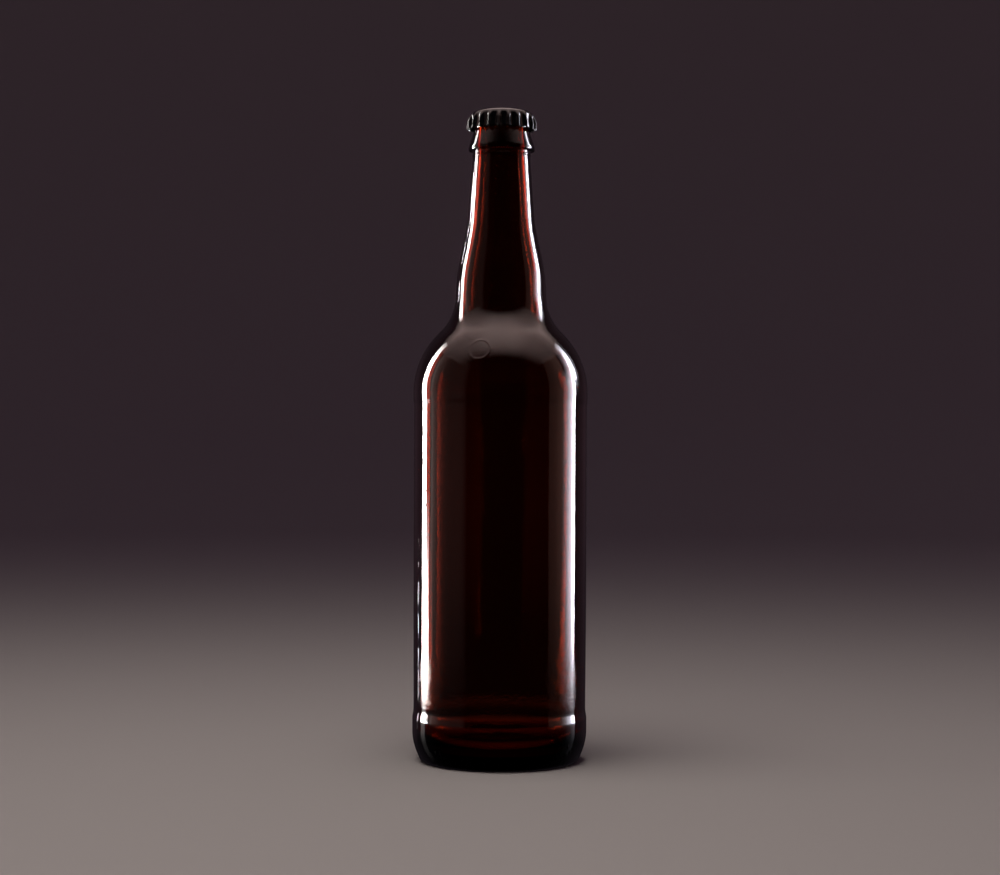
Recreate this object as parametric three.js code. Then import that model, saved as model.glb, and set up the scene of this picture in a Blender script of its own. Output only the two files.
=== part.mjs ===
// An empty 600 ml long-neck beer bottle of amber glass, shut by a crown cap.
// Millimetres, +Z up. The origin is the centre of the ring that the bottle stands on.
// Both pieces are turned about Z: a profile is a list of (radius, height) points.
import * as THREE from "three";

const aroundGlass = 56;

// Body: a label panel between two slightly wider bands
const panelRadius = 36.2;
const bandRadius = 36.5;
const heelTop = 13;
const lowerBandTop = 18.3;
const panelBottom = 21.3;
const panelTop = 148.9;
const upperBandBottom = 150.9;
const shoulderStart = 153.9;

// Base: a long heel curve, a small corner, a flat ring to stand on and a dished push-up
const heelCurve = 24;
const cornerCurve = 3;
const standInner = 28.8;
const pushUp = 7;

// Shoulder and neck
const shoulderCurve = 34.8;
const neckFillet = 22.2;
const neckRootRadius = 18.9;
const flareBottom = { radius: 18.7, height: 198.5, lean: 0.03, reach: 10 };
const flareTop = { radius: 13.9, height: 227.5, reach: 8 };
const neckTop = { radius: 12.1, height: 252.1 };
const neckSlope = (flareTop.radius - neckTop.radius) / (neckTop.height - flareTop.height);

// Finish: a fine ring and a bead under a cone, with the locking ring that the cap grips
const fineRing = { radius: 12.5, height: 253.4, width: 0.8 };
const bead = { radius: 13.9, height: 256.1, round: 0.75 };
const coneTop = { radius: 11.6, height: 264.1 };
const lock = { radius: 12.8, height: 267.2, round: 1.5 };
const lip = { outer: 10.8, inner: 9.6, height: 271 };
const mouth = { radius: 8.8, round: 0.8 };

// Wall: the inside follows the outside of the body, shoulder and neck
const wall = 2.9;
const boreBottom = 250;
const floorCorner = 9;
const floorEdgeHeight = 6;
const floorCentreHeight = 11.5;
const floorBreak = { along: 0.6, rise: 0.65 };

// Crown cap: 21 flutes round a flared skirt under a domed top, lined to just short of the glass
const flutes = 21;
const stepsPerFlute = 6;
const fluteDepth = 0.5;
const fluteRun = 3.5;
const capTop = 272.6;
const capDome = { radius: 10, rise: 0.5 };
const skirtShoulder = { radius: 12.7, height: 270.3 };
const skirtMiddle = { radius: 13.85, height: 267.8 };
const skirtTip = { radius: 14.2, height: 264.2, round: 0.4 };
const liningGap = 0.4;

const point = (radius, height) => new THREE.Vector2(radius, height);

// Points of an arc about a centre, by angles in degrees from the outward direction
function arc(centreRadius, centreHeight, curve, from, to, steps) {
  return Array.from({ length: steps + 1 }, (_, i) => {
    const angle = THREE.MathUtils.degToRad(from + ((to - from) * i) / steps);
    return point(centreRadius + curve * Math.cos(angle), centreHeight + curve * Math.sin(angle));
  });
}

// Points of a shallow dome over the axis, from its apex out to its edge
function dome(apexHeight, edgeRadius, rise, steps) {
  const curve = (edgeRadius ** 2 + rise ** 2) / (2 * rise);
  const edgeAngle = THREE.MathUtils.radToDeg(Math.acos(edgeRadius / curve));
  return arc(0, apexHeight - curve, curve, 90, edgeAngle, steps);
}

// The shoulder's arc turns into the neck's fillet where the two circles touch
const shoulderCentre = bandRadius - shoulderCurve;
const filletCentre = neckRootRadius + neckFillet;
const turnRise = Math.sqrt((shoulderCurve + neckFillet) ** 2 - (filletCentre - shoulderCentre) ** 2);
const filletHeight = shoulderStart + turnRise;
const turnAngle = THREE.MathUtils.radToDeg(Math.atan2(turnRise, filletCentre - shoulderCentre));

// The shoulder, the fillet and the flare of the neck, moved inward by inset
function shoulderAndNeck(inset, steps) {
  const bottom = flareBottom.radius - inset;
  const top = flareTop.radius - inset;
  const flare = new THREE.CubicBezierCurve(
    point(bottom, flareBottom.height),
    point(bottom - flareBottom.lean * flareBottom.reach, flareBottom.height + flareBottom.reach),
    point(top + neckSlope * flareTop.reach, flareTop.height - flareTop.reach),
    point(top, flareTop.height),
  );
  return [
    ...arc(shoulderCentre, shoulderStart, shoulderCurve - inset, 0, turnAngle, steps),
    ...arc(filletCentre, filletHeight, neckFillet + inset, 180 + turnAngle, 180, steps).slice(1),
    ...flare.getPoints(steps),
  ];
}

// Outside of the glass, from the middle of the base up to the lip
function outside() {
  const heelCentre = bandRadius - heelCurve;
  const cornerAngle = Math.asin((heelTop - cornerCurve) / (heelCurve - cornerCurve));
  const cornerCentre = heelCentre + (heelCurve - cornerCurve) * Math.cos(cornerAngle);
  const heelAngle = -THREE.MathUtils.radToDeg(cornerAngle);
  return [
    ...dome(pushUp, standInner, pushUp, 4),
    ...arc(cornerCentre, cornerCurve, cornerCurve, -90, heelAngle, 4),
    ...arc(heelCentre, heelTop, heelCurve, heelAngle, 0, 4).slice(1),
    point(bandRadius, lowerBandTop),
    point(panelRadius, panelBottom),
    point(panelRadius, panelTop),
    point(bandRadius, upperBandBottom),
    ...shoulderAndNeck(0, 7),
    point(neckTop.radius, neckTop.height),
    point(fineRing.radius, fineRing.height),
    point(neckTop.radius, fineRing.height + fineRing.width),
    ...arc(bead.radius - bead.round, bead.height, bead.round, -80, 30, 4),
    point(coneTop.radius, coneTop.height),
    ...arc(lock.radius - lock.round, lock.height, lock.round, -50, 50, 4),
    point(lip.outer, lip.height),
    point(lip.inner, lip.height),
  ];
}

// Inside of the glass, from the mouth down to the middle of the floor
function inside() {
  const bodyInside = panelRadius - wall;
  const floorRadius = bodyInside - floorCorner;
  const breakHeight = floorEdgeHeight + floorBreak.rise * (floorCentreHeight - floorEdgeHeight);
  return [
    ...arc(mouth.radius + mouth.round, lip.height - mouth.round, mouth.round, 105, 180, 2),
    point(neckTop.radius - wall, boreBottom),
    ...shoulderAndNeck(wall, 6).reverse(),
    point(bodyInside, upperBandBottom),
    ...arc(floorRadius, floorEdgeHeight + floorCorner, floorCorner, 0, -80, 6),
    point(floorBreak.along * floorRadius, breakHeight),
    point(0, floorCentreHeight),
  ];
}

function bottleGeometry() {
  return new THREE.LatheGeometry([...outside(), ...inside()], aroundGlass);
}

// The cap's outside is turned smooth, then pushed in and out to form the flutes
function capGeometry() {
  const skin = [
    ...dome(capTop, capDome.radius, capDome.rise, 3),
    point(skirtShoulder.radius, skirtShoulder.height),
    point(skirtMiddle.radius, skirtMiddle.height),
    point(skirtTip.radius, skirtTip.height + skirtTip.round),
    point(skirtTip.radius - skirtTip.round / 4, skirtTip.height),
  ];
  const lining = [
    point(lock.radius + liningGap, skirtTip.height + skirtTip.round / 2),
    point(lock.radius + liningGap, lock.height + lock.round / 2),
    point(lip.outer + 3 * liningGap, lip.height - lock.round),
    point(lip.outer + liningGap, lip.height + liningGap),
    point(0, lip.height + liningGap),
  ];
  const geometry = new THREE.LatheGeometry([...skin, ...lining].reverse(), flutes * stepsPerFlute);
  const profileCount = skin.length + lining.length;
  const position = geometry.getAttribute("position");
  for (let i = 0; i < position.count; i++) {
    if (i % profileCount < lining.length) continue;
    const [x, height, z] = [position.getX(i), position.getY(i), position.getZ(i)];
    const radius = Math.hypot(x, z);
    const depth = fluteDepth * THREE.MathUtils.smoothstep(skirtShoulder.height - height, 0, fluteRun);
    if (depth === 0) continue;
    const moved = (radius + depth * Math.cos(flutes * Math.atan2(z, x))) / radius;
    position.setXYZ(i, x * moved, height, z * moved);
  }
  return geometry;
}

// A lathe turns about Y, so each piece is stood up to turn about Z
function piece(name, geometry, material) {
  const mesh = new THREE.Mesh(geometry, material);
  mesh.name = name;
  mesh.rotation.x = Math.PI / 2;
  return mesh;
}

const amberGlass = new THREE.MeshStandardMaterial({ color: 0x3a1508, roughness: 0.04, metalness: 0 });
const blackLacquer = new THREE.MeshStandardMaterial({ color: 0x0c0c0e, roughness: 0.25, metalness: 0.6 });

const bottle = new THREE.Group();
bottle.add(piece("bottle_glass", bottleGeometry(), amberGlass));
bottle.add(piece("crown_cap", capGeometry(), blackLacquer));

export default bottle;
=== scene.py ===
import math
import random

import bmesh
import bpy
from mathutils import Matrix, Vector, noise


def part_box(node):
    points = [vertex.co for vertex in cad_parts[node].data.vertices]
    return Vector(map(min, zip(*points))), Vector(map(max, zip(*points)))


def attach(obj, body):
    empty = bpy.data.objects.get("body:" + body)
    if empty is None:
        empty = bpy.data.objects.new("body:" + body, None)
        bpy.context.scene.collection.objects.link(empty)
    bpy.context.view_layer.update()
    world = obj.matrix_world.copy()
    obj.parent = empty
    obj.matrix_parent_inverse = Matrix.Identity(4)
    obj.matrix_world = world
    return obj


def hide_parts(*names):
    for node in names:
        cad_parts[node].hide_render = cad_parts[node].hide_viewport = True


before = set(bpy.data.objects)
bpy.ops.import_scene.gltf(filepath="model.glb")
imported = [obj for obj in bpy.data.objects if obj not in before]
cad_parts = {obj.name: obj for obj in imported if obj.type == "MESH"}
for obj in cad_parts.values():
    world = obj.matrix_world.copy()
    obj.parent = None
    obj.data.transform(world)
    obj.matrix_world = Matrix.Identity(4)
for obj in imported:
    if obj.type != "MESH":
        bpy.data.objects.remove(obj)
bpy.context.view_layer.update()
print("frame loaded:", ", ".join(sorted(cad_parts)))

mm = 0.001
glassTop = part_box("bottle_glass")[1].z / mm
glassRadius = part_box("bottle_glass")[1].x / mm
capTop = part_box("crown_cap")[1].z / mm


def toLinear(hexColour, alpha=1.0):
    channels = [int(hexColour[i:i + 2], 16) / 255 for i in (1, 3, 5)]
    return [c / 12.92 if c <= 0.04045 else ((c + 0.055) / 1.055) ** 2.4 for c in channels] + [alpha]


def addNode(tree, kind, inputs=None, **settings):
    node = tree.nodes.new(kind)
    for name, value in settings.items():
        setattr(node, name, value)
    for name, value in (inputs or {}).items():
        if isinstance(value, bpy.types.NodeSocket):
            tree.links.new(value, node.inputs[name])
        else:
            node.inputs[name].default_value = value
    return node


def newMaterial(name):
    material = bpy.data.materials.new(name)
    material.use_nodes = True
    material.node_tree.nodes.clear()
    return material, material.node_tree


# 0 up to low, 1 from high on, and smooth in between
def ease(low, high, value):
    t = min(max((value - low) / (high - low), 0.0), 1.0)
    return t * t * (3 - 2 * t)


# A profile is a list of (radius, height) points in mm
def arcPoints(centreRadius, centreHeight, curve, fromAngle, toAngle, spacing):
    steps = max(3, math.ceil(abs(math.radians(toAngle - fromAngle)) * curve / spacing))
    angles = [math.radians(fromAngle + (toAngle - fromAngle) * i / steps) for i in range(steps + 1)]
    return [(centreRadius + curve * math.cos(a), centreHeight + curve * math.sin(a)) for a in angles]


def fillGaps(points, spacing):
    filled = [points[0]]
    for start, end in zip(points, points[1:]):
        steps = max(1, math.ceil(math.dist(start, end) / spacing))
        for i in range(1, steps + 1):
            t = i / steps
            filled.append((start[0] + (end[0] - start[0]) * t, start[1] + (end[1] - start[1]) * t))
    return filled


def softCorners(corners, spacing):
    # Each corner is (radius, height, rounding); the ends stay as they are
    mostOfSide = 0.48      # so that two roundings never meet
    turnPerStep = 0.25
    points = [corners[0][:2]]
    for before, corner, after in zip(corners, corners[1:], corners[2:]):
        here = Vector(corner[:2])
        back, ahead = Vector(before[:2]) - here, Vector(after[:2]) - here
        turn = math.pi - back.angle(ahead)
        reach = min(corner[2] * math.tan(turn / 2), mostOfSide * back.length, mostOfSide * ahead.length)
        start, end = here + back.normalized() * reach, here + ahead.normalized() * reach
        steps = max(2, math.ceil(turn / turnPerStep))
        for i in range(steps + 1):
            t = i / steps
            points.append(tuple(start * (1 - t) ** 2 + here * 2 * t * (1 - t) + end * t ** 2))
    points.append(corners[-1][:2])
    return fillGaps(points, spacing)


def joinPoints(*pieces):
    # A point that falls on the one before it is left out
    samePoint = 0.02
    joined = []
    for piece in pieces:
        joined += [p for p in piece if not joined or math.dist(p, joined[-1]) > samePoint]
    return joined


def profileNormals(points):
    normals = []
    for i in range(len(points)):
        before, after = points[max(i - 1, 0)], points[min(i + 1, len(points) - 1)]
        along = Vector((after[0] - before[0], after[1] - before[1])).normalized()
        normals.append((along.y, -along.x))
    return normals


# Faces between two rings of points, either of which may be a single point on the axis
def ringFaces(lower, upper, columns):
    faces = []
    for j in range(columns):
        k = (j + 1) % columns
        bottom = [lower[j % len(lower)], lower[k % len(lower)]]
        top = [upper[k % len(upper)], upper[j % len(upper)]]
        faces.append(list(dict.fromkeys(bottom + top)))
    return faces


def smoothMesh(name, vertices, faces):
    mesh = bpy.data.meshes.new(name)
    mesh.from_pydata(vertices, [], faces)
    mesh.shade_smooth()
    return mesh


# Angles round the axis start at the front, -Y, and grow towards +X
def turnMesh(name, points, angles, offset):
    onAxis = 0.01
    vertices, faces, rings = [], [], []
    for index, (point, normal) in enumerate(zip(points, profileNormals(points))):
        if point[0] < onAxis:
            rings.append([len(vertices)])
            vertices.append((0, 0, point[1] * mm))
            continue
        rings.append(list(range(len(vertices), len(vertices) + len(angles))))
        for angle in angles:
            push = offset(index, point, angle)
            radius = (point[0] + normal[0] * push) * mm
            height = (point[1] + normal[1] * push) * mm
            vertices.append((radius * math.sin(angle), -radius * math.cos(angle), height))
    for lower, upper in zip(rings, rings[1:]):
        faces += ringFaces(lower, upper, len(angles))
    return smoothMesh(name, vertices, faces)


def addPiece(name, mesh, material):
    piece = bpy.data.objects.new(name, mesh)
    bpy.context.scene.collection.objects.link(piece)
    mesh.materials.append(material)
    return piece


# The bottle: one pressed and blown piece of glass. A pair without a note is a radius and a height
bottle = {
    "columns": 204,
    "panelRadius": 36.2,
    # Low down the panel is a hair slimmer
    "panelFoot": {"radius": 36.0, "low": 24, "high": 62, "rounding": (30, 60)},
    "bandStart": 13.5,
    "lowerBandTop": 18.3,
    "panelBottom": 21.3,
    "panelTop": 148.9,
    "upperBandBottom": 150.9,
    "bandRounding": 3,
    "shoulderStart": 153.9,
    "heelTop": 13.0,
    "heelCurve": 24.0,
    "cornerCurve": 3.0,
    "standInner": 28.8,
    "pushUp": 7.0,
    "shoulderCurve": 34.8,
    "neckFillet": 22.2,
    "neckRootRadius": 18.9,
    "flareBottom": (18.7, 198.5),
    "flareTop": (13.9, 227.5),
    "flareHold": {"in": 0.3, "up": 10, "down": 8},     # how far the flare holds its two directions
    "neckTop": (12.1, 252.1),
    # The finish, as radius, height, rounding: a fine ring, the bead, its cone and the locking ring
    "finish": (
        (12.15, 252.9, 0.5),
        (12.5, 253.4, 0.4),
        (12.1, 254.2, 0.4),
        (12.2, 255.1, 0.3),
        (13.9, 255.4, 0.6),
        (13.9, 256.8, 0.7),
        (11.55, 264.5, 0.6),
        (12.4, 266.0, 1.0),
        (12.8, 267.0, 0.9),
        (12.2, 268.6, 1.0),
    ),
    "lip": {"outer": 10.8, "inner": 9.6, "rounding": 0.7},
    "mouth": {"radius": 8.8, "rounding": 0.8},
    "wall": 2.9,
    "wallTop": 151.9,
    "boreBottom": 250.0,
    "floorCorner": 9.0,
    "floorEdge": 6.0,
    "floorCentre": 11.5,
    "floorTurn": 80,           # degrees of the floor's corner, before it runs on to the centre
    "floorBreak": {"along": 0.6, "rise": 0.65, "rounding": 12},
    # Mould seams, where the two halves met: plain low down, nearly gone at the top of the panel,
    # and broken into glints on the shoulder and neck
    "seam": {
        "degrees": (-68.5, 111.5),
        "height": 0.10,
        "width": 0.35,
        "reach": 2,
        "lowEnds": (100, 114),
        "highStarts": (150, 166),
        "level": {"all": 0.28, "low": 0.27, "high": 0.45},
        "broken": {"all": 0.3, "high": 0.9},
        "glint": 2.9,
        "fadeIn": (1, 6),
        "fadeOut": (249, 252),
    },
    # Slow waves in the skin: their height, their length round and up, and where they fade in and out
    "outerWaves": {
        "height": 0.035, "around": 22, "along": 60, "fadeIn": (2, 14), "fadeOut": (248, 252), "seed": 3.7,
    },
    "innerWaves": {
        "height": 0.09, "around": 12, "along": 95, "fadeIn": (8, 20), "fadeOut": (236, 250), "seed": 8.1,
    },
    "innerCalm": {"share": 0.7, "heights": (175, 200)},     # the inner waves are lower in the neck
    # Fine bars round the ring that it stands on
    "knurls": {"count": 76, "height": 0.12, "run": 1.5, "fadeOut": (1.2, 3.2), "flat": 0.4, "top": 4},
    "heelDots": ((-46, 7.1), (-41.5, 6.9), (50.8, 8.8), (49.8, 5.4), (54.2, 6.2)),    # degrees, height
    "heelDot": {"radius": 0.6, "height": 0.34},
    "closeColumns": {"seamSteps": 4, "atSeam": 0.28, "atDots": 0.6, "least": 0.2},    # degrees
    "dotSpans": ((-48, -39.5), (48, 56)),
    "bubbles": {
        "count": 26, "seed": 11, "radius": (0.12, 0.3), "heights": (24, 146),
        "depth": (0.35, 0.65), "stretch": (1.1, 1.8),
    },
    # How far apart the rings of points are
    "outerSpacing": {
        "dome": 1.6, "corner": 0.5, "heel": 0.6, "body": 2.1, "shoulder": 1.5, "neck": 1.8, "finish": 0.7,
    },
    "innerSpacing": {"mouth": 0.4, "neck": 1.8, "shoulder": 2.2, "body": 2.4, "corner": 1.2, "floor": 2},
}


def flarePoints(inset, spacing):
    # A cubic curve that leaves the root nearly upright and meets the slope of the neck
    b, hold = bottle, bottle["flareHold"]
    slope = (b["flareTop"][0] - b["neckTop"][0]) / (b["neckTop"][1] - b["flareTop"][1])
    bottom, top = b["flareBottom"][0] - inset, b["flareTop"][0] - inset
    low, high = b["flareBottom"][1], b["flareTop"][1]
    control = [
        (bottom, low),
        (bottom - hold["in"], low + hold["up"]),
        (top + slope * hold["down"], high - hold["down"]),
        (top, high),
    ]
    steps = math.ceil((high - low) / spacing)
    points = []
    for i in range(steps + 1):
        t = i / steps
        weights = [(1 - t) ** 3, 3 * t * (1 - t) ** 2, 3 * t ** 2 * (1 - t), t ** 3]
        points.append(tuple(sum(w * c[axis] for w, c in zip(weights, control)) for axis in (0, 1)))
    return points


# The shoulder's arc turns into the neck's fillet where the two circles touch
def shoulderAndNeck(inset, spacing):
    b = bottle
    shoulderCentre = glassRadius - b["shoulderCurve"]
    filletCentre = b["neckRootRadius"] + b["neckFillet"]
    apart = filletCentre - shoulderCentre
    rise = math.sqrt((b["shoulderCurve"] + b["neckFillet"]) ** 2 - apart ** 2)
    turn = math.degrees(math.atan2(rise, apart))
    filletHeight = b["shoulderStart"] + rise
    return joinPoints(
        arcPoints(shoulderCentre, b["shoulderStart"], b["shoulderCurve"] - inset, 0, turn, spacing),
        arcPoints(filletCentre, filletHeight, b["neckFillet"] + inset, 180 + turn, 180, spacing),
        flarePoints(inset, spacing),
    )


def outsideOfGlass():
    b, spacing = bottle, bottle["outerSpacing"]
    heelCentre = glassRadius - b["heelCurve"]
    lean = math.asin((b["heelTop"] - b["cornerCurve"]) / (b["heelCurve"] - b["cornerCurve"]))
    cornerCentre = heelCentre + (b["heelCurve"] - b["cornerCurve"]) * math.cos(lean)
    domeCurve = (b["standInner"] ** 2 + b["pushUp"] ** 2) / (2 * b["pushUp"])
    domeEdge = math.degrees(math.acos(b["standInner"] / domeCurve))
    heelAngle = -math.degrees(lean)
    base = joinPoints(
        arcPoints(0, b["pushUp"] - domeCurve, domeCurve, 90, domeEdge, spacing["dome"]),
        arcPoints(cornerCentre, b["cornerCurve"], b["cornerCurve"], -90, heelAngle, spacing["corner"]),
        arcPoints(heelCentre, b["heelTop"], b["heelCurve"], heelAngle, 0, spacing["heel"]),
    )
    foot, soft = b["panelFoot"], b["bandRounding"]
    bands = softCorners([
        (glassRadius, b["bandStart"], 0),
        (glassRadius, b["lowerBandTop"], soft),
        (foot["radius"], b["panelBottom"], soft),
        (foot["radius"], foot["low"], foot["rounding"][0]),
        (b["panelRadius"], foot["high"], foot["rounding"][1]),
        (b["panelRadius"], b["panelTop"], soft),
        (glassRadius, b["upperBandBottom"], soft),
        (glassRadius, b["shoulderStart"], 0),
    ], spacing["body"])
    neck = fillGaps([b["flareTop"], b["neckTop"]], spacing["neck"])
    finish = softCorners([
        (*b["neckTop"], 0),
        *b["finish"],
        (b["lip"]["outer"], glassTop, b["lip"]["rounding"]),
        (b["lip"]["inner"], glassTop, 0),
    ], spacing["finish"])
    return joinPoints(base, bands, shoulderAndNeck(0, spacing["shoulder"]), neck, finish)


def insideOfGlass():
    b, spacing = bottle, bottle["innerSpacing"]
    bodyInside = b["panelRadius"] - b["wall"]
    floorRadius = bodyInside - b["floorCorner"]
    floorRise = b["floorCentre"] - b["floorEdge"]
    cornerHeight = b["floorEdge"] + b["floorCorner"]
    walls = joinPoints(
        [(b["neckTop"][0] - b["wall"], b["boreBottom"])],
        list(reversed(shoulderAndNeck(b["wall"], spacing["shoulder"]))),
        fillGaps([(bodyInside, b["wallTop"]), (bodyInside, cornerHeight)], spacing["body"]),
        arcPoints(floorRadius, cornerHeight, b["floorCorner"], 0, -b["floorTurn"], spacing["corner"]),
    )
    edge = b["floorBreak"]
    floor = softCorners([
        walls[-1] + (0,),
        (edge["along"] * floorRadius, b["floorEdge"] + edge["rise"] * floorRise, edge["rounding"]),
        (0, b["floorCentre"], 0),
    ], spacing["floor"])
    mouth = b["mouth"]
    mouthHeight = glassTop - mouth["rounding"]
    rounded = arcPoints(b["lip"]["inner"], mouthHeight, mouth["rounding"], 105, 180, spacing["mouth"])
    bore = fillGaps([(mouth["radius"], mouthHeight), walls[0]], spacing["neck"])
    return joinPoints(rounded, bore, walls, floor)


def columnAngles():
    # Even columns, with closer ones at the mould seams and the heel dots
    b, close = bottle, bottle["closeColumns"]
    angles = {round(360 * i / b["columns"], 3) for i in range(b["columns"])}
    for seam in b["seam"]["degrees"]:
        for step in range(-close["seamSteps"], close["seamSteps"] + 1):
            angles.add(round((seam + step * close["atSeam"]) % 360, 3))
    for low, high in b["dotSpans"]:
        count = round((high - low) / close["atDots"])
        angles |= {round((low + (high - low) * i / count) % 360, 3) for i in range(count + 1)}
    kept = []
    for angle in sorted(angles):
        if not kept or angle - kept[-1] > close["least"]:
            kept.append(angle)
    return [math.radians(angle) for angle in kept]


def waves(setting, radius, height, angle):
    place = Vector((radius * math.sin(angle), -radius * math.cos(angle), 0)) / setting["around"]
    place.z = height / setting["along"] + setting["seed"]
    return setting["height"] * 2 * noise.noise(place)


def arcDistance(radius, angle, degrees):
    apart = (angle - math.radians(degrees) + math.pi) % (2 * math.pi) - math.pi
    return radius * apart


def seamStrength(degrees, height):
    seam = bottle["seam"]
    low, high = 1 - ease(*seam["lowEnds"], height), ease(*seam["highStarts"], height)
    level = seam["level"]["all"] + seam["level"]["low"] * low + seam["level"]["high"] * high
    broken = seam["broken"]["all"] + seam["broken"]["high"] * high
    return max(0.0, level + broken * noise.noise(Vector((degrees, 0.5, height / seam["glint"]))))


def seamPush(radius, height, angle):
    seam = bottle["seam"]
    along = ease(*seam["fadeIn"], height) * (1 - ease(*seam["fadeOut"], height))
    push = 0
    for degrees in seam["degrees"]:
        apart = arcDistance(radius, angle, degrees)
        if abs(apart) < seam["reach"]:
            strength = seam["height"] * seamStrength(degrees, height)
            push += strength * along * math.exp(-(apart / seam["width"]) ** 2)
    return push


def knurlPush(radius, height, angle):
    inner, knurls = bottle["standInner"], bottle["knurls"]
    if height >= knurls["top"] or radius <= inner - 1:
        return 0
    bar = 0.5 + 0.5 * math.cos(knurls["count"] * angle)
    fade = 1 - ease(*knurls["fadeOut"], height)
    raised = knurls["height"] * bar * fade * ease(inner, inner + knurls["run"], radius)
    return raised - knurls["height"] * (1 - ease(0, knurls["flat"], height))


def outsideOffset(point, angle):
    b, slow, dot = bottle, bottle["outerWaves"], bottle["heelDot"]
    radius, height = point
    push = waves(slow, radius, height, angle) * ease(*slow["fadeIn"], height)
    push *= 1 - ease(*slow["fadeOut"], height)
    push += seamPush(radius, height, angle)
    push += knurlPush(radius, height, angle)
    for degrees, up in b["heelDots"]:
        apart = math.hypot(arcDistance(radius, angle, degrees), height - up) / dot["radius"]
        if apart < 1 and radius > b["standInner"]:
            push += dot["height"] * (1 - apart ** 2)
    return push


def insideOffset(point, angle):
    slow, calm = bottle["innerWaves"], bottle["innerCalm"]
    radius, height = point
    push = waves(slow, radius, height, angle) * ease(*slow["fadeIn"], height)
    return push * (1 - calm["share"] * ease(*calm["heights"], height)) * (1 - ease(*slow["fadeOut"], height))


def addBubbles(mesh):
    # Small air bubbles in the wall, placed by a seeded rule: shells that face inwards
    b, bubbles = bottle, bottle["bubbles"]
    draw = random.Random(bubbles["seed"])
    shape = bmesh.new()
    shape.from_mesh(mesh)
    for _ in range(bubbles["count"]):
        size = draw.uniform(*bubbles["radius"])
        angle, height = draw.uniform(0, 2 * math.pi), draw.uniform(*bubbles["heights"])
        radius = b["panelRadius"] - b["wall"] * draw.uniform(*bubbles["depth"])
        place = Vector((radius * math.sin(angle), -radius * math.cos(angle), height)) * mm
        matrix = Matrix.Translation(place) @ Matrix.Diagonal((1, 1, draw.uniform(*bubbles["stretch"]), 1))
        bubble = bmesh.ops.create_icosphere(shape, subdivisions=2, radius=size * mm, matrix=matrix)
        faces = {face for vertex in bubble["verts"] for face in vertex.link_faces}
        bmesh.ops.reverse_faces(shape, faces=list(faces))
        for face in faces:
            face.smooth = True
    shape.to_mesh(mesh)
    shape.free()


amber = {
    "colour": "#FFFFFF",        # the surface is clear, and the colour is in the depth of the glass
    "ior": 1.52,                # soda-lime glass
    "absorption": "#CE8A26",    # with the density, how fast each colour fades in the glass
    "density": 1070.0,          # per metre: 3 mm pass 29% of red, 9% of green and 4% of blue
    "roughness": 0.012,
    "smudgeSize": 16.667,
    "smudgeLevels": (0.4, 0.75),
    "smudgeMost": 3,            # times the roughness, where it is smudged
    "rippleSize": 5.0,
    "rippleDepth": 0.006,
    "stippleSize": 0.9,         # real stipple is finer; it is drawn as coarse as it needs to show
    "stippleDepth": 0.075,
    "stippleBand": (22, 27, 38, 50),   # heights between which the stipple fades in and out
    # A faint round mark of the mould on the shoulder
    "ring": {"place": (-8.7, -30.9, 170.8), "radius": 4.5, "width": 0.7, "depth": 0.09},
}


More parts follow.
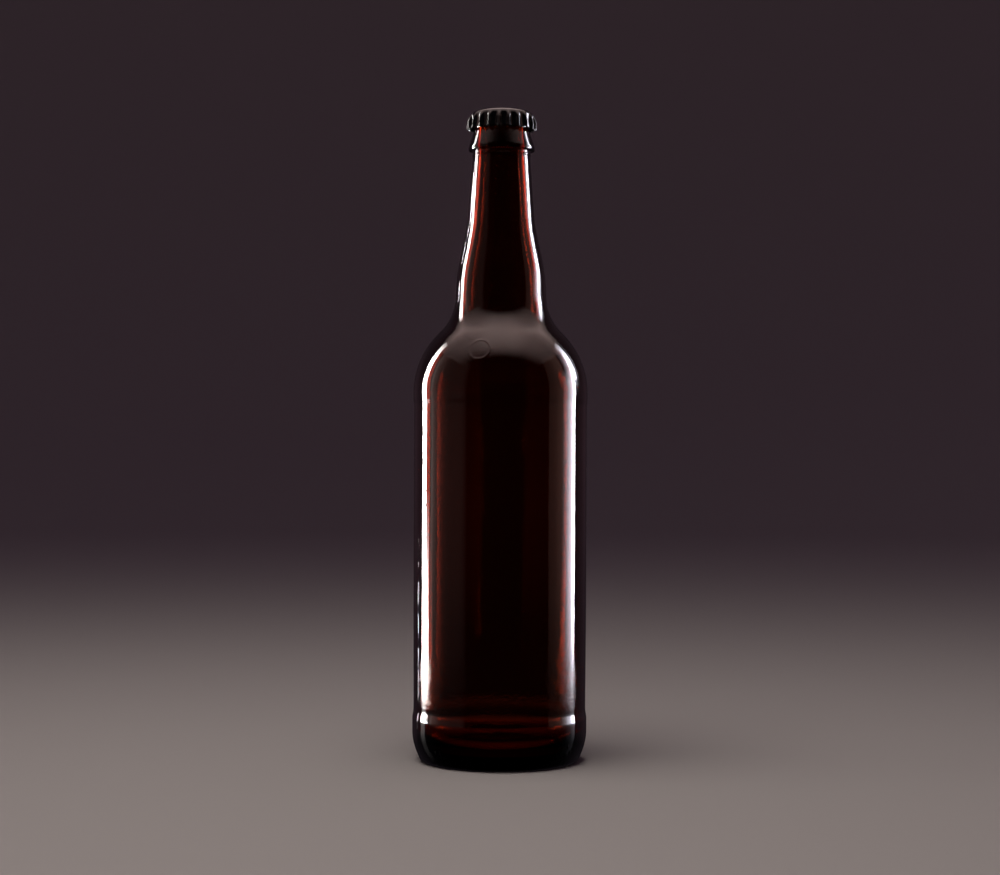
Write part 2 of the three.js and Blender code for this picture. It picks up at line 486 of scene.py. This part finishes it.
# Blown soda-lime glass with iron and sulphur: nearly black where thick, red-orange where light
# crosses it once or twice, with a fire-polished skin that ripples a little
def amberGlass():
    a, ring = amber, amber["ring"]
    material, tree = newMaterial("blown_amber_soda_lime_glass")
    place = addNode(tree, "ShaderNodeTexCoord").outputs["Object"]
    height = addNode(tree, "ShaderNodeSeparateXYZ", {"Vector": place}).outputs["Z"]
    ripple = addNode(tree, "ShaderNodeTexNoise", {
        "Vector": place, "Scale": 1 / (a["rippleSize"] * mm), "Detail": 1.0,
    })
    rippleBump = addNode(tree, "ShaderNodeBump", {
        "Height": ripple.outputs["Fac"], "Distance": a["rippleDepth"] * mm,
    })
    low, lowFull, highFull, high = (h * mm for h in a["stippleBand"])
    fadeIn = addNode(tree, "ShaderNodeMapRange", {
        "Value": height, "From Min": low, "From Max": lowFull,
    }, interpolation_type="SMOOTHSTEP")
    fadeOut = addNode(tree, "ShaderNodeMapRange", {
        "Value": height, "From Min": highFull, "From Max": high, "To Min": 1.0, "To Max": 0.0,
    }, interpolation_type="SMOOTHSTEP")
    band = addNode(tree, "ShaderNodeMath", {
        0: fadeIn.outputs["Result"], 1: fadeOut.outputs["Result"],
    }, operation="MULTIPLY")
    stipple = addNode(tree, "ShaderNodeTexNoise", {
        "Vector": place, "Scale": 1 / (a["stippleSize"] * mm), "Detail": 2.0,
    })
    stippleBump = addNode(tree, "ShaderNodeBump", {
        "Height": stipple.outputs["Fac"], "Distance": a["stippleDepth"] * mm,
        "Strength": band.outputs["Value"], "Normal": rippleBump.outputs["Normal"],
    })
    # The mark is a ridge that falls off on both sides of a ring
    fromCentre = addNode(tree, "ShaderNodeVectorMath", {
        0: place, 1: Vector(ring["place"]) * mm,
    }, operation="DISTANCE")
    pastRing = addNode(tree, "ShaderNodeMath", {
        0: fromCentre.outputs["Value"], 1: ring["radius"] * mm,
    }, operation="SUBTRACT")
    apart = addNode(tree, "ShaderNodeMath", {0: pastRing.outputs["Value"]}, operation="ABSOLUTE")
    ridge = addNode(tree, "ShaderNodeMapRange", {
        "Value": apart.outputs["Value"], "From Max": ring["width"] * mm, "To Min": 1.0, "To Max": 0.0,
    }, interpolation_type="SMOOTHSTEP")
    ringBump = addNode(tree, "ShaderNodeBump", {
        "Height": ridge.outputs["Result"], "Distance": ring["depth"] * mm,
        "Normal": stippleBump.outputs["Normal"],
    })
    smudge = addNode(tree, "ShaderNodeTexNoise", {
        "Vector": place, "Scale": 1 / (a["smudgeSize"] * mm), "Detail": 4.0,
    })
    roughness = addNode(tree, "ShaderNodeMapRange", {
        "Value": smudge.outputs["Fac"], "From Min": a["smudgeLevels"][0], "From Max": a["smudgeLevels"][1],
        "To Min": a["roughness"], "To Max": a["smudgeMost"] * a["roughness"],
    })
    shader = addNode(tree, "ShaderNodeBsdfPrincipled", {
        "Base Color": toLinear(a["colour"]), "IOR": a["ior"], "Transmission Weight": 1.0,
        "Roughness": roughness.outputs["Result"], "Normal": ringBump.outputs["Normal"],
    })
    inside = addNode(tree, "ShaderNodeVolumeAbsorption", {
        "Color": toLinear(a["absorption"]), "Density": a["density"],
    })
    addNode(tree, "ShaderNodeOutputMaterial", {
        "Surface": shader.outputs["BSDF"], "Volume": inside.outputs["Volume"],
    })
    return material


outside, inside = outsideOfGlass(), insideOfGlass()


def glassOffset(index, point, angle):
    skin = outsideOffset if index < len(outside) else insideOffset
    return skin(point, angle)


glassMesh = turnMesh("amber_bottle", outside + inside, columnAngles(), glassOffset)
addBubbles(glassMesh)
amberBottle = addPiece("amber_bottle", glassMesh, amberGlass())
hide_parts("bottle_glass")
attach(amberBottle, "root")
print("glass turned:", len(glassMesh.polygons), "faces")


# The crown cap: thin sheet steel, drawn and fluted round the lip
crown = {
    "flutes": 21,
    "stepsPerFlute": 18,
    "turned": -5.0,           # degrees, to bring a ridge where the photograph has it
    "dome": {"radius": 10.0, "rise": 0.5, "edge": 10.6, "rings": 14},
    # radius of the ridges, radius of the hollows between them, height
    "skirt": (
        (11.3, 11.3, 271.8),
        (12.45, 12.43, 271.15),
        (13.2, 13.02, 270.2),
        (14.0, 13.2, 268.9),
        (14.5, 13.15, 267.5),
        (14.7, 13.35, 265.9),
        (14.7, 13.6, 264.6),
    ),
    "skirtRings": 30,
    "liningRings": 21,        # up the inside of the skirt, from the rim
    "liningDrop": 0.1,
    "sheet": 0.26,
    "rimLeans": (30, 90, 150),
    "rimDepth": 1.4,          # times half the sheet
    "underside": ((11.9, 271.1), (11.3, 271.35), (6, 271.4)),
    "ridgeSharpness": 2.4,
}


def skirtAt(t, ridge):
    # t runs from 0 at the dome's edge to 1 at the rim, on a smooth curve through the rows
    rows = crown["skirt"]
    place = t * (len(rows) - 1)
    i = min(int(place), len(rows) - 2)
    picked = [rows[min(max(i + k, 0), len(rows) - 1)] for k in (-1, 0, 1, 2)]
    s = place - i
    values = []
    for a, b, c, d in zip(*picked):
        square = 2 * a - 5 * b + 4 * c - d
        values.append(0.5 * (2 * b + (c - a) * s + square * s ** 2 + (3 * b - a - 3 * c + d) * s ** 3))
    return values[1] + (values[0] - values[1]) * ridge, values[2]


def capMesh():
    c, dome = crown, crown["dome"]
    columns, steps = c["flutes"] * c["stepsPerFlute"], c["skirtRings"]
    domeCurve = (dome["radius"] ** 2 + dome["rise"] ** 2) / (2 * dome["rise"])
    vertices, rings, faces = [(0, 0, capTop * mm)], [[0]], []

    def addRing(place):
        rings.append(list(range(len(vertices), len(vertices) + columns)))
        for i in range(columns):
            turn = 2 * math.pi * i / columns
            ridge = (0.5 + 0.5 * math.cos(c["flutes"] * turn)) ** c["ridgeSharpness"]
            radius, height = place(ridge)
            angle = turn + math.radians(c["turned"])
            vertices.append((radius * math.sin(angle) * mm, -radius * math.cos(angle) * mm, height * mm))

    for i in range(1, dome["rings"] + 1):
        radius = dome["edge"] * i / dome["rings"]
        addRing(lambda ridge: (radius, capTop - radius ** 2 / (2 * domeCurve)))
    for i in range(steps + 1):
        addRing(lambda ridge: skirtAt(i / steps, ridge))
    rim = c["sheet"] / 2
    for lean in c["rimLeans"]:
        across, drop = rim - rim * math.cos(math.radians(lean)), rim * math.sin(math.radians(lean))
        addRing(lambda ridge: (skirtAt(1, ridge)[0] - across, skirtAt(1, ridge)[1] - drop * c["rimDepth"]))
    for i in range(steps, steps - c["liningRings"], -1):
        addRing(lambda ridge: (
            skirtAt(i / steps, ridge)[0] - c["sheet"], skirtAt(i / steps, ridge)[1] - c["liningDrop"],
        ))
    for radius, height in c["underside"]:
        addRing(lambda ridge: (radius, height))
    rings.append([len(vertices)])
    vertices.append((0, 0, c["underside"][-1][1] * mm))
    for upper, lower in zip(rings, rings[1:]):
        faces += ringFaces(lower, upper, columns)
    return smoothMesh("black_crown_cap", vertices, faces)


lacquer = {
    "colour": "#0B0B0D",
    "ior": 1.5,
    "roughness": 0.09,
    "smudgeSize": 4.0,
    "smudgeLevels": (0.35, 0.7),
    "smudgeMost": 1.8,          # times the roughness, where it is smudged
    "peelSize": 0.9,
    "peelDepth": 0.004,
    "dustColour": "#8C857C",
    "dustSize": 0.7143,         # real dust is finer; it is drawn as coarse as it needs to show
    "dustLevels": (0.68, 0.76),
    "dustCover": 0.5,
}


# Stoved black lacquer on tinplate: a hard dark gloss with a faint orange peel and a little dust
def blackLacquer():
    l = lacquer
    material, tree = newMaterial("stoved_black_lacquer_on_tinplate")
    place = addNode(tree, "ShaderNodeTexCoord").outputs["Object"]
    peel = addNode(tree, "ShaderNodeTexNoise", {
        "Vector": place, "Scale": 1 / (l["peelSize"] * mm), "Detail": 1.0,
    })
    bump = addNode(tree, "ShaderNodeBump", {
        "Height": peel.outputs["Fac"], "Distance": l["peelDepth"] * mm,
    })
    dust = addNode(tree, "ShaderNodeTexNoise", {
        "Vector": place, "Scale": 1 / (l["dustSize"] * mm), "Detail": 3.0,
    })
    dusty = addNode(tree, "ShaderNodeMapRange", {
        "Value": dust.outputs["Fac"], "From Min": l["dustLevels"][0], "From Max": l["dustLevels"][1],
        "To Max": l["dustCover"],
    })
    # Sockets 6 and 7 are the two colours that it mixes, and output 2 is the mixed colour
    colour = addNode(tree, "ShaderNodeMix", {
        "Factor": dusty.outputs["Result"], 6: toLinear(l["colour"]), 7: toLinear(l["dustColour"]),
    }, data_type="RGBA")
    smudge = addNode(tree, "ShaderNodeTexNoise", {
        "Vector": place, "Scale": 1 / (l["smudgeSize"] * mm), "Detail": 3.0,
    })
    roughness = addNode(tree, "ShaderNodeMapRange", {
        "Value": smudge.outputs["Fac"], "From Min": l["smudgeLevels"][0], "From Max": l["smudgeLevels"][1],
        "To Min": l["roughness"], "To Max": l["smudgeMost"] * l["roughness"],
    })
    shader = addNode(tree, "ShaderNodeBsdfPrincipled", {
        "Base Color": colour.outputs[2], "IOR": l["ior"], "Roughness": roughness.outputs["Result"],
        "Normal": bump.outputs["Normal"],
    })
    addNode(tree, "ShaderNodeOutputMaterial", {"Surface": shader.outputs["BSDF"]})
    return material


crownCap = addPiece("black_crown_cap", capMesh(), blackLacquer())
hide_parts("crown_cap")
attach(crownCap, "root")
print("cap fluted:", len(crownCap.data.polygons), "faces")


# The studio: a pale sweep in a dim room, tall softboxes at the sides and behind, a warm one overhead
studio = {
    "floorColour": "#CFCAC6",
    "floorRoughness": 0.8,
    "floorRadius": 2.2,       # then the sweep curves up to its wall
    "sweepCurve": 1.4,
    "sweepTop": 3.4,
    "roomBelow": "#1C181C",
    "roomLevel": "#3C2D34",
    "roomAbove": "#2E2429",
    # How bright the room is by direction: -1 is the camera's side, 1 straight behind the bottle
    "depth": ((-0.1, 0.0), (0.3, 0.5), (0.6, 1.6), (0.88, 1.5), (0.97, 0.6), (1.0, 0.25)),
    # Two glows in the floor's colour, seen only through the glass: one by how far a direction points
    # down, the other by how little it points behind the bottle
    "glowBelow": {"none": -0.17, "full": -0.35, "strength": 0.6},
    "glowRound": {"none": 0.75, "full": 0.3, "strength": 0.22},
}

# Azimuths are degrees round from the camera's side, positive to the right. Each stop is an azimuth
# and the brightness of the softbox there, so the hot end lies well behind the bottle. The heights
# are stops too, from the level of the floor
leftBox = {
    "distance": 0.75, "colour": "#FFFAF6", "radiance": 36,
    "heights": (
        (-0.5, 0.0), (-0.2, 0.003), (-0.1, 0.01), (-0.075, 0.03), (-0.058, 1.0),
        (0.48, 1.0), (0.62, 0.4), (0.80, 0.05),
    ),
    "stops": ((-124, 1.0), (-113.6, 1.0), (-113.1, 0.010), (-100.5, 0.010), (-98, 0.0)),
}
# Low down the left highlight is wider on its inner side
leftFoot = {
    "distance": 0.75, "colour": "#FFFAF6", "radiance": 36,
    "heights": ((-0.058, 1.0), (-0.02, 1.0), (0.015, 0.5), (0.06, 0.12), (0.1, 0.0)),
    "stops": ((-114, 1.0), (-107.6, 1.0), (-107.1, 0.0)),
}
rightBox = {
    "distance": 0.75, "colour": "#F4F1FF", "radiance": 36,
    "heights": (
        (-0.5, 0.0), (-0.2, 0.003), (-0.1, 0.01), (-0.075, 0.04), (-0.03, 0.6), (0.04, 1.0),
        (0.28, 1.0), (0.36, 0.4), (0.44, 0.0),
    ),
    "stops": (
        (88, 0.0), (90.5, 0.015), (94, 0.04), (97, 0.08), (99.6, 0.15), (106, 0.28), (111, 0.7), (115.5, 1.0),
    ),
}
# High up the right box reaches further behind, for the neck and the shoulder
rightTop = {
    "distance": 0.75, "colour": "#F4F1FF", "radiance": 36,
    "heights": (
        (0.17, 0.0), (0.22, 0.01), (0.28, 0.1), (0.36, 1.0), (0.48, 1.0), (0.62, 0.35), (0.80, 0.05),
    ),
    "stops": (
        (98, 0.0), (102, 0.03), (106, 0.09), (110, 0.2), (113, 0.6), (115.5, 1.0), (121, 1.0),
        (123, 0.06), (129, 0.03),
    ),
}
leftWall = {
    "distance": 1.0, "colour": "#F9CCC2", "radiance": 0.25,
    "heights": ((-0.13, 0.0), (-0.09, 0.5), (0.0, 0.9), (0.10, 1.1), (0.25, 0.9), (0.95, 0.8)),
    "stops": (
        (-104, 2.8), (-98, 2.6), (-90, 1.5), (-82, 0.8), (-70, 0.58), (-53, 0.55), (-48, 0.35), (-44, 0.0),
    ),
}
rightWall = {
    "distance": 1.0, "colour": "#FFC8B8", "radiance": 0.55,
    "heights": ((-0.13, 0.0), (-0.09, 0.5), (0.0, 0.9), (0.10, 1.1), (0.25, 0.9), (0.95, 0.8)),
    "stops": ((66, 0.3), (78, 0.5), (86, 0.85), (97, 1.0)),
}
# Overhead the stops are distances in metres, from the camera's side to the back, and then shares across
overhead = {
    "height": 0.95, "width": 2.2, "colour": "#FFE1DB", "radiance": 2.0,
    "stops": (
        (-0.74, 0.0), (-0.67, 0.05), (-0.56, 0.26), (-0.33, 0.78), (-0.13, 1.0), (0.05, 1.0),
        (0.2, 1.2), (0.4, 1.6), (0.55, 0.9), (0.7, 0.25),
    ),
    "across": ((0.0, 0.15), (0.3, 0.5), (0.42, 0.9), (0.58, 0.9), (0.7, 0.5), (1.0, 0.15)),
}
# A card behind the bottle, seen only through the glass. Stops are metres, from right to left and up
backCard = {
    "distance": 0.3, "colour": "#FFC9A8", "radiance": 0.06,
    "across": (
        (-0.07, 0.0), (-0.045, 0.7), (-0.022, 0.8), (-0.016, 0.12),
        (0.016, 0.12), (0.021, 1.2), (0.045, 0.9), (0.07, 0.0),
    ),
    "heights": ((0.0, 0.0), (0.03, 0.15), (0.055, 0.6), (0.10, 1.0), (0.15, 0.7), (0.2, 0.3), (0.3, 0.1)),
}
# Two lights that fall on matt surfaces alone: a soft pool on the floor round the bottle, and a dim
# ceiling that lifts the sweep's wall
sweepLights = {
    "table_light": {
        "size": 0.7, "power": 3.6, "place": (-0.15, -0.25, 0.95), "lean": (-14, -8), "colour": "#FFF6F0",
    },
    "ceiling_light": {
        "size": 5.0, "power": 6.3, "place": (0, 0, 3.3), "lean": (0, 0), "colour": "#FFDAFF",
    },
}


# The sweep is seen by the camera alone, so reflections and the view through the glass stay dark
def paleFloor():
    material, tree = newMaterial("matt_pale_paper")
    shader = addNode(tree, "ShaderNodeBsdfPrincipled", {
        "Base Color": toLinear(studio["floorColour"]), "Roughness": studio["floorRoughness"],
        "Specular IOR Level": 0.0,
    })
    addNode(tree, "ShaderNodeOutputMaterial", {"Surface": shader.outputs["BSDF"]})
    reach, curve = studio["floorRadius"], studio["sweepCurve"]
    flatRings, columns, curveSpacing = 12, 96, 0.08
    profile = [(0, 0)] + [(reach * i / flatRings, 0) for i in range(1, flatRings)]
    profile += arcPoints(reach, curve, curve, -90, 0, curveSpacing) + [(reach + curve, studio["sweepTop"])]
    points = [(radius / mm, height / mm) for radius, height in profile]
    angles = [2 * math.pi * i / columns for i in range(columns)]
    mesh = turnMesh("pale_floor", points, angles, lambda index, point, angle: 0)
    mesh.flip_normals()
    floor = addPiece("pale_floor", mesh, material)
    floor.visible_glossy = False
    floor.visible_transmission = False
    floor.visible_shadow = False


def setStops(ramp, stops):
    elements = ramp.color_ramp.elements
    for element, (position, level) in zip((elements[0], elements[1]), (stops[0], stops[-1])):
        element.position, element.color = position, (level, level, level, 1)
    for position, level in stops[1:-1]:
        elements.new(position).color = (level, level, level, 1)


def spreadStops(stops):
    start, end = stops[0][0], stops[-1][0]
    return [((place - start) / (end - start), level) for place, level in stops]


# Lamps show in gloss and through the glass, and light nothing matt
def addLight(name, box, width, height, across, along):
    lamp = bpy.data.lights.new(name, "AREA")
    lamp.shape = "RECTANGLE"
    lamp.size, lamp.size_y = width, height
    lamp.energy = box["radiance"] * math.pi * width * height
    lamp.color = toLinear(box["colour"])[:3]
    lamp.use_nodes = True
    tree = lamp.node_tree
    tree.nodes.clear()
    place = addNode(tree, "ShaderNodeNewGeometry").outputs["Parametric"]
    places = addNode(tree, "ShaderNodeSeparateXYZ", {"Vector": place})
    ramps = []
    for axis, stops in (("X", across), ("Y", along)):
        ramps.append(addNode(tree, "ShaderNodeValToRGB", {"Fac": places.outputs[axis]}))
        setStops(ramps[-1], stops)
    levels = addNode(tree, "ShaderNodeMath", {
        0: ramps[0].outputs["Color"], 1: ramps[1].outputs["Color"],
    }, operation="MULTIPLY")
    glow = addNode(tree, "ShaderNodeEmission", {"Strength": levels.outputs["Value"]})
    addNode(tree, "ShaderNodeOutputLight", {"Surface": glow.outputs["Emission"]})
    light = bpy.data.objects.new(name, lamp)
    bpy.context.scene.collection.objects.link(light)
    light.visible_camera = False
    light.visible_diffuse = False
    return light


# An upright lamp that faces the bottle's axis, with its stops set out by azimuth
def addSideBox(name, box):
    start, end = box["stops"][0][0], box["stops"][-1][0]
    middle = math.radians((start + end) / 2)
    half = box["distance"] * math.tan(math.radians((end - start) / 2))
    across = []
    for azimuth, level in box["stops"]:
        along = box["distance"] * math.tan(math.radians(azimuth) - middle)
        across.append((0.5 + 0.5 * along / half, level))
    bottom, top = box["heights"][0][0], box["heights"][-1][0]
    light = addLight(name, box, 2 * half, top - bottom, across, spreadStops(box["heights"]))
    x, y = box["distance"] * math.sin(middle), -box["distance"] * math.cos(middle)
    light.location = (x, y, (bottom + top) / 2)
    light.rotation_euler = (math.pi / 2, 0, middle)


def addOverhead():
    start, end = overhead["stops"][0][0], overhead["stops"][-1][0]
    along = spreadStops(overhead["stops"])
    light = addLight("overhead", overhead, overhead["width"], end - start, overhead["across"], along)
    light.location = (0, (start + end) / 2, overhead["height"])


def addBackCard():
    left, right = backCard["across"][0][0], backCard["across"][-1][0]
    bottom, top = backCard["heights"][0][0], backCard["heights"][-1][0]
    light = addLight(
        "back_card", backCard, right - left, top - bottom,
        spreadStops(backCard["across"]), spreadStops(backCard["heights"]),
    )
    light.location = ((left + right) / 2, backCard["distance"], (bottom + top) / 2)
    light.rotation_euler = (-math.pi / 2, math.pi, 0)
    light.visible_glossy = False


def addSweepLight(name, light):
    lamp = bpy.data.lights.new(name, "AREA")
    lamp.size, lamp.energy = light["size"], light["power"]
    lamp.color = toLinear(light["colour"])[:3]
    lantern = bpy.data.objects.new(name, lamp)
    bpy.context.scene.collection.objects.link(lantern)
    lantern.location = light["place"]
    lantern.rotation_euler = (math.radians(light["lean"][0]), math.radians(light["lean"][1]), 0)
    lantern.visible_camera = False
    lantern.visible_glossy = False
    lantern.visible_transmission = False


# The room round the stage: shaded by height and by direction, with the two glows added
def dimRoom():
    world = bpy.data.worlds.new("dim_studio")
    bpy.context.scene.world = world
    world.use_nodes = True
    tree = world.node_tree
    tree.nodes.clear()
    aim = addNode(tree, "ShaderNodeTexCoord").outputs["Generated"]
    towards = addNode(tree, "ShaderNodeSeparateXYZ", {"Vector": aim}).outputs
    shade = addNode(tree, "ShaderNodeMapRange", {"Value": towards["Z"], "From Min": -0.25, "From Max": 0.25})
    ramp = addNode(tree, "ShaderNodeValToRGB", {"Fac": shade.outputs["Result"]})
    colours = ramp.color_ramp.elements
    colours[0].color = toLinear(studio["roomBelow"])
    colours[1].color = toLinear(studio["roomAbove"])
    colours.new(0.5).color = toLinear(studio["roomLevel"])
    depth = addNode(tree, "ShaderNodeMapRange", {"Value": towards["Y"], "From Min": -1.0})
    dim = addNode(tree, "ShaderNodeValToRGB", {"Fac": depth.outputs["Result"]})
    setStops(dim, [((place + 1) / 2, level) for place, level in studio["depth"]])
    room = addNode(tree, "ShaderNodeBackground", {
        "Color": ramp.outputs["Color"], "Strength": dim.outputs["Color"],
    })
    glows = []
    for axis, glow in (("Z", studio["glowBelow"]), ("Y", studio["glowRound"])):
        glows.append(addNode(tree, "ShaderNodeMapRange", {
            "Value": towards[axis], "From Min": glow["none"], "From Max": glow["full"],
            "To Max": glow["strength"],
        }).outputs["Result"])
    brighter = addNode(tree, "ShaderNodeMath", {0: glows[0], 1: glows[1]}, operation="MAXIMUM")
    throughGlass = addNode(tree, "ShaderNodeLightPath").outputs["Is Transmission Ray"]
    seen = addNode(tree, "ShaderNodeMath", {
        0: brighter.outputs["Value"], 1: throughGlass,
    }, operation="MULTIPLY")
    glow = addNode(tree, "ShaderNodeBackground", {
        "Color": toLinear(studio["floorColour"]), "Strength": seen.outputs["Value"],
    })
    both = addNode(tree, "ShaderNodeAddShader", {
        0: room.outputs["Background"], 1: glow.outputs["Background"],
    })
    addNode(tree, "ShaderNodeOutputWorld", {"Surface": both.outputs["Shader"]})


sideBoxes = {
    "left_box": leftBox,
    "left_foot": leftFoot,
    "right_box": rightBox,
    "right_top": rightTop,
    "left_wall": leftWall,
    "right_wall": rightWall,
}
for name, box in sideBoxes.items():
    addSideBox(name, box)
addOverhead()
addBackCard()
for name, light in sweepLights.items():
    addSweepLight(name, light)
paleFloor()
dimRoom()
print("studio set:", len(bpy.data.lights), "lights")

# Camera: level, at the photograph's viewing angle. The photo's sizes are pixels, and its roll degrees
photo = {"width": 1000, "focal": 1905, "horizon": 450, "centreRow": 437.5, "axisColumn": 500.4, "roll": 0.25}
view = {"distance": 0.8, "height": 0.130, "sensor": 36}
camera = bpy.data.objects.new("camera", bpy.data.cameras.new("camera"))
bpy.context.scene.collection.objects.link(camera)
bpy.context.scene.camera = camera
camera.location = (0, -view["distance"], view["height"])
camera.rotation_euler = (math.pi / 2, -math.radians(photo["roll"]), 0)
camera.data.sensor_width = view["sensor"]
camera.data.lens = view["sensor"] * photo["focal"] / photo["width"]
camera.data.shift_y = (photo["horizon"] - photo["centreRow"]) / photo["width"]
camera.data.shift_x = (photo["width"] / 2 - photo["axisColumn"]) / photo["width"]

scene = bpy.context.scene
scene.view_settings.view_transform = "Standard"
scene.cycles.max_bounces = 24
scene.cycles.transmission_bounces = 24
scene.cycles.glossy_bounces = 12
scene.cycles.caustics_reflective = False
scene.cycles.caustics_refractive = False
scene.cycles.sample_clamp_indirect = 8
scene.cycles.use_denoising = True
